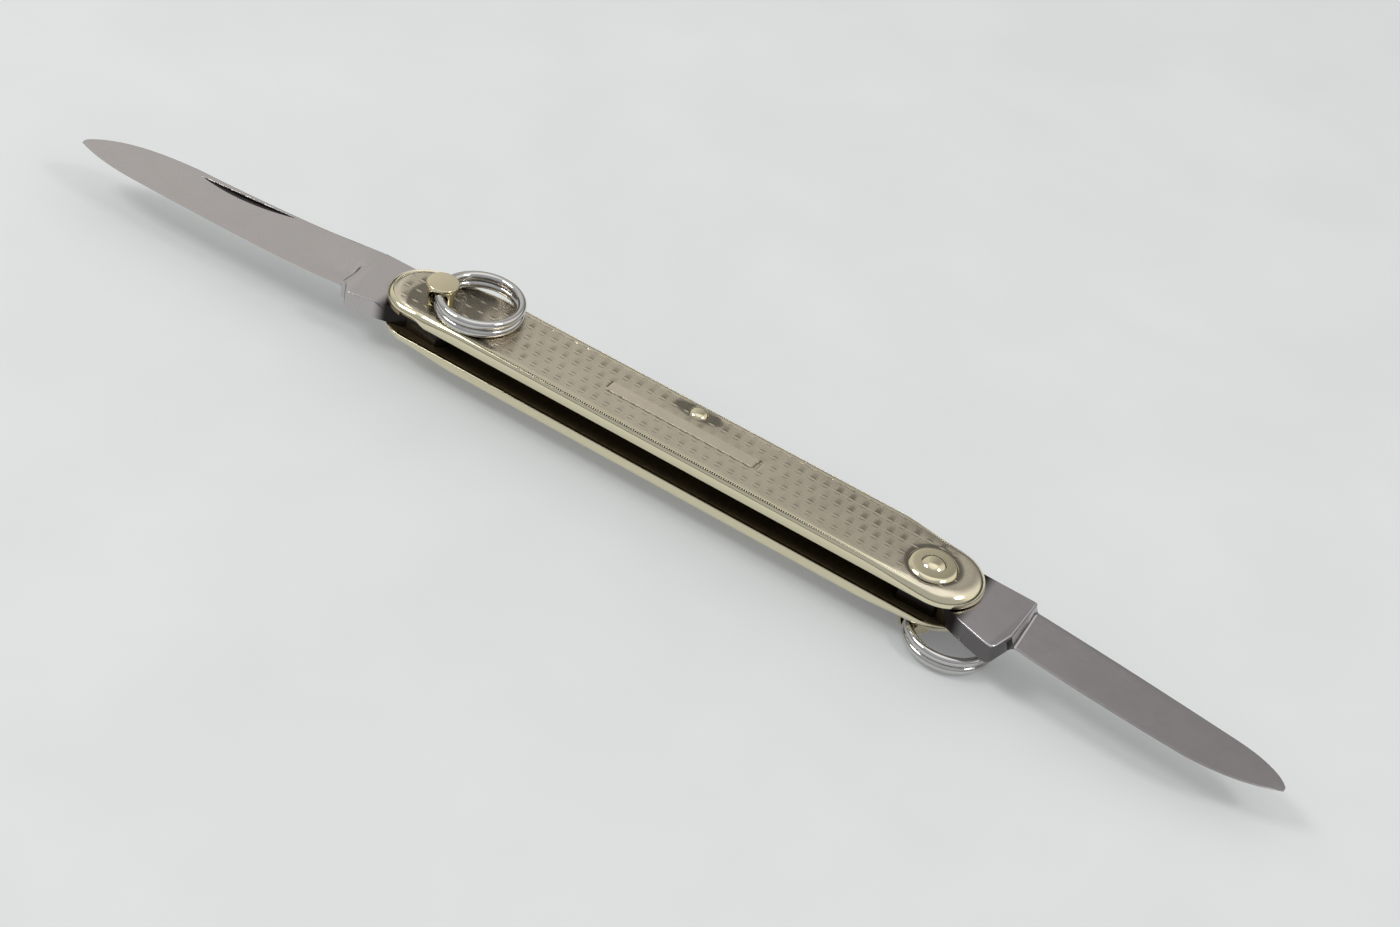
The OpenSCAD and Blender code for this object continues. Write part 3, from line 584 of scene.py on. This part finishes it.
def beads(name, path, pitch, radius):
    """Row of small beads along a closed path, in mm, set by Geometry Nodes."""
    line = bpy.data.curves.new(name, "CURVE")
    line.dimensions = "3D"
    spline = line.splines.new("POLY")
    spline.points.add(len(path) - 1)
    for p, at in zip(spline.points, path * MM):
        p.co = (*at, 1)
    spline.use_cyclic_u = True
    source = bpy.data.objects.new(name + "_path", line)
    bpy.context.scene.collection.objects.link(source)
    tree = bpy.data.node_groups.new("beads", "GeometryNodeTree")
    face = tree.interface
    face.new_socket("Geometry", in_out="INPUT", socket_type="NodeSocketGeometry")
    sockets = [face.new_socket(n, in_out="INPUT", socket_type="NodeSocketFloat") for n in ("Pitch", "Radius")]
    face.new_socket("Geometry", in_out="OUTPUT", socket_type="NodeSocketGeometry")
    start = tree.nodes.new("NodeGroupInput")
    points = add(tree, "GeometryNodeResampleCurve", {"mode": "LENGTH"},
                 {"Curve": start.outputs["Geometry"], "Length": start.outputs["Pitch"]})
    bead = add(tree, "GeometryNodeMeshUVSphere", {"Segments": 8, "Rings": 5}, {"Radius": start.outputs["Radius"]})
    placed = add(tree, "GeometryNodeInstanceOnPoints", None,
                 {"Points": points.outputs[0], "Instance": bead.outputs["Mesh"]})
    real = add(tree, "GeometryNodeRealizeInstances", None, {0: placed.outputs[0]})
    dressed = add(tree, "GeometryNodeSetMaterial", {"Material": cover_gold}, {"Geometry": real.outputs[0]})
    end = tree.nodes.new("NodeGroupOutput")
    tree.links.new(dressed.outputs[0], end.inputs[0])
    mod = source.modifiers.new("beads", "NODES")
    mod.node_group = tree
    for socket, value in zip(sockets, (pitch * MM, radius * MM)):
        mod[socket.identifier] = value
    bpy.context.view_layer.update()
    data = bpy.data.meshes.new_from_object(source.evaluated_get(bpy.context.evaluated_depsgraph_get()))
    source.modifiers.clear()
    bpy.data.objects.remove(source)
    data.name = name
    finish_mesh(data, cover_gold, 60)
    piece = bpy.data.objects.new(name, data)
    bpy.context.scene.collection.objects.link(piece)
    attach(piece, "handle")


# Blades: the tang is the CAD's, the ground part a smooth loft with its plunge and swage

def quad(a, b, c, t):
    """Point of a quadratic curve."""
    t = np.asarray(t)[:, None]
    return (1 - t) ** 2 * np.array(a) + 2 * t * (1 - t) * np.array(b) + t * t * np.array(c)


PLUNGE_X = 9.0                        # where the grind starts, from the pivot
SEAM_X = PLUNGE_X - 0.02              # where the CAD's tang is cut off and the ground part starts
ROOT_X = PLUNGE_X - 0.5               # where the outlines' curves start
TANG_Z = 0.95                         # half thickness of a tang
EDGE_T, EDGE_GRIND = 0.04, 0.02       # half thickness behind the edge and what the sharpened strip takes off it
TIP, LAST_X = 0.12, 0.13              # bluntness of the point, and how far short of it the mesh's last row lies
NICK_X = 24.5                         # middle of the nail nick, from the pivot


class Blade:
    """Sizes of a blade in its own frame: x from the pivot to the tip, y to the back, outer face +z."""

    def __init__(self, length, back_h, shoulder, bow, tip_drop, choil, belly, edge_drop, lean, edge_bow):
        """back_h and choil are heights of back and edge at the plunge, shoulder is where the back starts down to the
        point (from the tip, height), belly and edge_drop the same for the edge; bow, lean and edge_bow bend them."""
        t = np.linspace(0, 1, 90)
        root, tip = (ROOT_X, back_h), (length, TIP - tip_drop)
        sh = (length - shoulder[0], shoulder[1])
        mid = ((root[0] + sh[0]) / 2, (root[1] + sh[1]) / 2 + bow)
        second = (sh[0] + 0.79 * (tip[0] - sh[0]), sh[1] + 0.155 * (tip[1] - sh[1]))
        self.back_pts = np.concatenate([quad(root, mid, sh, t), quad(sh, second, tip, t)[1:]])
        root, tip = (ROOT_X, -choil), (length - TIP, -tip_drop - TIP)
        low = (length - belly, -edge_drop)
        first = (root[0] + lean * (low[0] - root[0]), root[1] + lean * (low[1] - root[1]) + edge_bow)
        second = (low[0] + 0.6 * (tip[0] - low[0]), low[1] + 0.1 * (tip[1] - low[1]) - 0.1)
        self.edge_pts = np.concatenate([quad(root, first, low, t), quad(low, second, tip, t)[1:]])
        self.length = length

    def back(self, x):
        """Height of the back at x."""
        return np.interp(x, self.back_pts[:, 0], self.back_pts[:, 1])

    def edge(self, x):
        """Height of the edge at x."""
        return np.interp(x, self.edge_pts[:, 0], self.edge_pts[:, 1])

    def faces(self, x):
        """Outer and inner face at the back, tapering to the point."""
        u = np.clip((x - PLUNGE_X) / (self.length - PLUNGE_X), 0, 1)
        outer = 0.86 - 0.14 * u
        return outer, outer - (1.1 + (0.32 - 1.1) * u)


def ground(blade, plunge, swage, wave=0.0, start=TANG_Z, flush=1.5):
    """Points and faces of a blade's ground part from the seam to the tip. plunge says how far the grind has run in,
    swage gives for the outer and inner face (places, widths, fall), wave swells the outer face before the tip, start
    is the inner face's depth at the seam and flush how far the outer face stays flush along the back."""
    span = blade.length - LAST_X - SEAM_X
    xs = SEAM_X + span * (1 - (1 - np.linspace(0, 1, 260)) ** 1.15)
    v = np.concatenate([[0, 0.006, 0.013], np.linspace(0.02, 0.25, 19), np.linspace(0.27, 0.93, 26),
                        np.linspace(0.94, 1, 5)])        # 0 at the back, 1 at the edge
    V, X = np.meshgrid(v, xs)
    B, E = blade.back(X), blade.edge(X)
    Y = B + V * (E - B)
    zo, zi = blade.faces(X)
    mid = (zo + zi) / 2
    outer = zo + V * (mid + EDGE_T - zo)
    inner = zi + V * (mid - EDGE_T - zi)
    fine = soft(0.94, 1.0, V)                       # the sharpened strip
    round_off = 0.08 * (1 - soft(0, 0.02, V)) * soft(0, 0.3, X - SEAM_X)
    outer = outer - fine * EDGE_GRIND - round_off
    inner = inner + fine * EDGE_GRIND + round_off
    if "outer" in swage:
        outer = outer - swage_fall(X, B - Y, *swage["outer"])
    if "inner" in swage:
        inner = inner + swage_fall(X, B - Y, *swage["inner"])
    # the grind runs out flush at the back of the plunge, and swells a little before the tip
    outer = outer + (TANG_Z - outer) * soft(0.8, 0.2, V) * np.exp(-((X - PLUNGE_X) / flush) ** 2)
    outer = outer + wave * np.exp(-((X - blade.length + 8 - 1.5 * V) / 2.2) ** 2) * (1 - fine)
    s = plunge(X, V)
    outer = TANG_Z + s * (outer - TANG_Z)
    inner = -start + s * (inner + start)
    n, w = X.shape[0], 2 * X.shape[1]
    pts = np.concatenate([np.stack([X, Y, outer], -1), np.stack([X, Y, inner], -1)[:, ::-1]], 1).reshape(-1, 3)
    faces = [(j + i, j + (i + 1) % w, j + w + (i + 1) % w, j + w + i)
             for j in range(0, (n - 1) * w, w) for i in range(w)]
    faces.append(tuple(range(w)))
    faces.append(tuple(range((n - 1) * w, n * w))[::-1])
    return pts, faces


def swage_fall(x, depth, places, widths, fall):
    """How much a swage takes off a face, depth mm below the back."""
    return np.clip(1 - depth / np.interp(x, places, widths), 0, 1) * fall


def tang(node, flip_x, soften):
    """Copy of a blade's CAD mesh, cut off at its plunge and softened along the edges of its upper face near the
    cut."""
    bm = bmesh.new()
    bm.from_mesh(frame["nodes"][node].data)
    bmesh.ops.remove_doubles(bm, verts=bm.verts, dist=1e-7)
    x = PIVOT_AT[node] + SEAM_X * flip_x
    cut = bmesh.ops.bisect_plane(bm, geom=bm.verts[:] + bm.edges[:] + bm.faces[:], dist=1e-8,
                                 plane_co=(x * MM, 0, 0), plane_no=(flip_x, 0, 0), clear_outer=True)
    rim = [e for e in cut["geom_cut"] if isinstance(e, bmesh.types.BMEdge)]
    bmesh.ops.holes_fill(bm, edges=rim)
    bmesh.ops.dissolve_limit(bm, angle_limit=math.radians(0.5), verts=bm.verts, edges=bm.edges)
    keep_seam = soften < 0.1                        # a thin softening leaves the cut itself alone
    edges = [e for e in bm.edges if len(e.link_faces) == 2 and e.calc_face_angle() > 0.9
             and all(v.co.z > (TANG_Z - 0.01) * MM and abs(v.co.x - x * MM) < 3.9 * MM for v in e.verts)
             and not (keep_seam and all(abs(v.co.x - x * MM) < 0.01 * MM for v in e.verts))]
    bmesh.ops.bevel(bm, geom=edges, offset=soften * MM, segments=4, profile=0.5, affect="EDGES", clamp_overlap=True)
    data = bpy.data.meshes.new(node + "_tang")
    bm.to_mesh(data)
    bm.free()
    return data


def blade_piece(name, node, blade, plunge, swage, mat, flip_x, flip_z, soften, cutter=None, **shape):
    """A whole blade: CAD tang and lofted ground part, as one object. flip_x and flip_z turn the blade's own frame
    into the row frame."""
    pts, faces = ground(blade, plunge, swage, **shape)
    pts = pts * (flip_x, 1, flip_z) + (PIVOT_AT[node], PIVOT_Y, 0)
    piece = make(name, pts, faces, mat, node, 28)
    if cutter:
        carve(piece, cutter())
    # joined in a new bmesh: one that faces were deleted from fills its gaps in another order each run
    tang_data = tang(node, flip_x, soften)
    bm = bmesh.new()
    bm.from_mesh(tang_data)
    bm.from_mesh(piece.data)
    bm.to_mesh(piece.data)
    bm.free()
    bpy.data.meshes.remove(tang_data)
    finish_mesh(piece.data, mat, 28)
    shade_and_oil_marks(piece.data, node, blade, flip_x, cutter)
    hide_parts(node)


def shade_and_oil_marks(data, node, blade, flip_x, nick):
    """Face attribute of painted shade: how dark it makes the tang's side faces, with an old oily film there too, or,
    on the blade with the nick, only the face that ends its tang and the nick itself."""
    n = len(data.polygons)
    at, way = np.empty(3 * n), np.empty(3 * n)
    data.polygons.foreach_get("center", at)
    data.polygons.foreach_get("normal", way)
    flip = np.array([[flip_x], [1], [1]])
    x, y, z = (at.reshape(n, 3) / MM - (PIVOT_AT[node], PIVOT_Y, 0)).T * flip
    nx, ny, nz = way.reshape(n, 3).T * flip
    # painted shade on the tang's side faces, where an old oily film darkens them too; on the blade with the nick,
    # painted shade only on its tang's end face
    on_tang = (np.abs(nz) < 0.35) & (x < PLUNGE_X + 0.6) & (np.abs(z) < TANG_Z - 0.01)
    if nick:
        on_tang &= nx > 0.5
    shade_and_oil = np.where(on_tang, 0.72, 0.0)
    # painted shade in the nail nick
    if nick:
        back, zo, zi = blade.back(x), *blade.faces(x)
        plain = zo + (back - y) / (back - blade.edge(x)) * ((zo + zi) / 2 + EDGE_T - zo)
        cut_in = (z < plain - 0.006) | (ny < -0.3)
        upper = (z > plain - 0.4) & (z > 0.1) & (nz > -0.2)
        by_nick = (np.abs(x - NICK_X) < 5.8) & (y > 0.8) & (y < back - 0.08)
        shade_and_oil = np.where(cut_in & upper & by_nick, 0.95, shade_and_oil)
    data.attributes.new("shade_and_oil", "FLOAT", "FACE").data.foreach_set("value", shade_and_oil.astype(np.float32))


def nick_cutter():
    """The large leaned wheel that cuts the master blade's nail nick: straight and steep along the back."""
    length, depth, high = 11.0, 0.2, 0.75           # of the nick: along its straight side, into the face, across
    rise, turn = 1.72, 5.6                          # height of its straight side above the pivot, and its slant
    r = (length * length / 4 + depth * depth) / (2 * depth)
    zo, zi = (float(z) for z in master.faces(NICK_X))
    top, foot = float(master.back(NICK_X)), float(master.edge(NICK_X))
    slope = (zo - (zo + zi) / 2 - EDGE_T) / (top - foot)
    lean = math.atan(depth / high) - math.atan(slope)
    bm = bmesh.new()
    bmesh.ops.create_cone(bm, cap_ends=True, segments=1440, radius1=r * MM, radius2=r * MM, depth=2 * high * MM)
    move = (Matrix.Translation(Vector((PIVOT_AT["master_blade"], PIVOT_Y, 0)) * MM) @ Matrix.Diagonal((-1, 1, 1, 1))
            @ Matrix.Translation(Vector((NICK_X, rise, zo - slope * (top - rise))) * MM)
            @ Matrix.Rotation(math.radians(-turn), 4, "Z") @ Matrix.Rotation(-lean, 4, "X")
            @ Matrix.Translation(Vector((0, -high, r - depth)) * MM) @ Matrix.Rotation(math.radians(90), 4, "X"))
    bm.transform(move)
    return bm


master = Blade(length=41.4, back_h=3.85, shoulder=(11.3, 1.95), bow=-0.6, tip_drop=2.55, choil=2.4, belly=7.4,
               edge_drop=3.8, lean=0.2, edge_bow=-1.0)
pen = Blade(length=34.9, back_h=3.9, shoulder=(6.0, 2.2), bow=0.2, tip_drop=0.55, choil=1.3, belly=8.6,
            edge_drop=2.9, lean=0.35, edge_bow=-0.5)
SWAGE_X = (9, 20, 25, 29, 34)
PEN_SWAGE = {"inner": (SWAGE_X, (0.58, 0.6, 1.25, 1.65, 1.9), 0.13),
             "outer": (SWAGE_X, (0.3, 0.4, 1.25, 1.65, 1.9), 0.13)}


def master_plunge(x, v):
    """Sharp towards the edge, fading towards the back."""
    return soft(0, 0.2 + 1.6 * soft(0.75, 0.05, v), x - 9.25)


def pen_plunge(x, v):
    """A quarter-round hollow that widens towards the edge."""
    t = np.clip((x - 8.99) / (0.45 + 0.25 * v), 0, 1)
    return 1 - (1 - t) ** 2


# Build

cover("front_cover", 1, "front_scale")
cover("rear_cover", -1, "rear_scale")
blade_piece("master_blade_ground", "master_blade", master, master_plunge, {}, master_steel, flip_x=-1, flip_z=1,
            soften=0.08, cutter=nick_cutter, flush=4.5)
blade_piece("pen_blade_ground", "pen_blade", pen, pen_plunge, PEN_SWAGE, pen_steel, flip_x=1, flip_z=-1,
            soften=0.28, wave=0.04, start=0.67)
for name, up, place, turn in (("master", 1, -1, 17), ("pen", -1, 1, -8)):
    pin(name + "_pin", HANDLE_X + place * PIVOT_X, up, turn, name + "_bail_pin")
    washer(name + "_washer_dome", HANDLE_X + place * PIVOT_X, -up, name + "_washer")
rivet("domed_rivet", "spring_rivet")
for node, mat in (("front_liner", liner_brass), ("rear_liner", liner_brass), ("back_spring", spring_steel),
                  ("master_ring", ring_nickel), ("pen_ring", ring_nickel)):
    dress(node, mat)


# Floor, light and camera

FLOOR_SIZE = 3.0                      # metres from the middle to a side
FLOOR_SEEN, FLOOR_MIRRORED = 0.2, 0.35              # share of its own plain colour for the camera, and in metal
ROOM = (0.6, 1.1)                     # plain light of the room on dull surfaces, near side and far side
ROOF = 1.3                            # brightness straight above, in mirrors
LENS, CAMERA_ROLL = 61.8, math.radians(14.24)
EYE, AIM = (70.0, -157.74, 136.0), (6.215, -0.823, 0)           # row frame


def stage_floor():
    """Plain pale cloth-coloured floor."""
    data = bpy.data.meshes.new("floor")
    corners = [(x * FLOOR_SIZE, y * FLOOR_SIZE, FLOOR_Z * MM) for x, y in ((-1, -1), (1, -1), (1, 1), (-1, 1))]
    data.from_pydata(corners, [], [(0, 1, 2, 3)])
    m, t, shader = material("floor_pale", 0.9, 0.0)
    shader.inputs["Specular IOR Level"].default_value = 0.1
    pale = ramp(t, noise(t, 0.05, detail=2), [(0.3, lin("#d0d3d4")), (0.7, lin("#d4d7d8"))])
    t.links.new(pale, shader.inputs["Base Color"])
    # the camera and polished metal see more of the backdrop's own pale colour and less of its shadow
    ray = add(t, "ShaderNodeLightPath")
    seen = add(t, "ShaderNodeMath", {"operation": "MULTIPLY", 1: FLOOR_SEEN}, {0: ray.outputs["Is Camera Ray"]})
    share = add(t, "ShaderNodeMath", {"operation": "MULTIPLY_ADD", 1: FLOOR_MIRRORED},
                {0: ray.outputs["Is Glossy Ray"], 2: seen.outputs[0]})
    glow = add(t, "ShaderNodeEmission", {"Strength": 1.0}, {"Color": pale})
    both = add(t, "ShaderNodeMixShader", None, {0: share.outputs[0], 1: shader.outputs[0], 2: glow.outputs[0]})
    t.links.new(both.outputs[0], t.nodes["Material Output"].inputs["Surface"])
    data.materials.append(m)
    floor = bpy.data.objects.new("floor", data)
    bpy.context.scene.collection.objects.link(floor)


def lamp(name, at, size, power):
    """Soft rectangular lamp, level, shining down."""
    data = bpy.data.lights.new(name, "AREA")
    data.shape, data.size, data.size_y, data.energy = "RECTANGLE", size[0], size[1], power
    obj = bpy.data.objects.new(name, data)
    bpy.context.scene.collection.objects.link(obj)
    obj.location = at


def world():
    """Plain pale room. What polished metal mirrors is a light tent: a far wall that dims to its middle and is dark
    at its foot, a bright roof and a half-bright near side."""
    w = bpy.data.worlds.new("tent")
    bpy.context.scene.world = w
    w.use_nodes = True
    t = w.node_tree

    def span(source, low, high, a=0.0, b=1.0, smooth="SMOOTHSTEP"):
        """a to b as the source goes from low to high."""
        return add(t, "ShaderNodeMapRange", {"From Min": low, "From Max": high, "To Min": a, "To Max": b,
                                             "interpolation_type": smooth}, {"Value": source}).outputs[0]

    def blend(fac, a, b):
        """Mix of two strengths, each a socket or a number."""
        node = add(t, "ShaderNodeMix", None, {0: fac})
        for socket, value in ((node.inputs[2], a), (node.inputs[3], b)):
            if isinstance(value, float):
                socket.default_value = value
            else:
                t.links.new(value, socket)
        return node.outputs[0]

    way = add(t, "ShaderNodeSeparateXYZ", None, {0: add(t, "ShaderNodeTexCoord").outputs["Generated"]}).outputs
    left = span(way["X"], -0.5, -0.1, 0.74, 0.38, "LINEAR")
    right = span(way["X"], 0.05, 0.5, 0.0, 0.55)
    across = add(t, "ShaderNodeMath", {"operation": "ADD"}, {0: left, 1: right}).outputs[0]
    far_wall = blend(span(way["Z"], 0.22, 0.36), 0.08, across)
    near_side = blend(span(way["Z"], 0.03, 0.32), 0.16, 0.56)
    far = span(way["Y"], -0.2, 0.25)
    ray = add(t, "ShaderNodeLightPath").outputs["Is Glossy Ray"]
    sky = t.nodes["Background"].inputs
    room = span(way["Y"], -0.6, 0.9, ROOM[0], ROOM[1], "LINEAR")
    tent = blend(span(way["Z"], 0.84, 0.97), blend(far, near_side, far_wall), ROOF)
    t.links.new(blend(ray, room, tent), sky["Strength"])
    tint = mixed(t, far, lin("#eceef2"), lin("#fdfcf8"))
    t.links.new(mixed(t, ray, lin("#fdfcf8"), tint), sky["Color"])


def camera():
    """The camera fitted to the photograph."""
    data = bpy.data.cameras.new("photo_camera")
    data.sensor_width, data.lens = 36.0, LENS
    data.clip_start, data.clip_end = 0.005, 50
    cam = bpy.data.objects.new("photo_camera", data)
    bpy.context.scene.collection.objects.link(cam)
    eye, aim = Vector(EYE) * MM, Vector(AIM) * MM
    turn = (aim - eye).to_track_quat("-Z", "Y").to_matrix().to_4x4()
    cam.matrix_world = Matrix.Translation(eye) @ turn @ Matrix.Rotation(CAMERA_ROLL, 4, "Z")
    bpy.context.scene.camera = cam


stage_floor()
world()
camera()
lamp("left_lamp", (-0.38, -0.2, 0.48), (0.3, 0.17), 1.6)
lamp("right_lamp", (0.46, 0.02, 0.52), (0.16, 0.16), 1.1)
bpy.context.scene.view_settings.view_transform = "Standard"
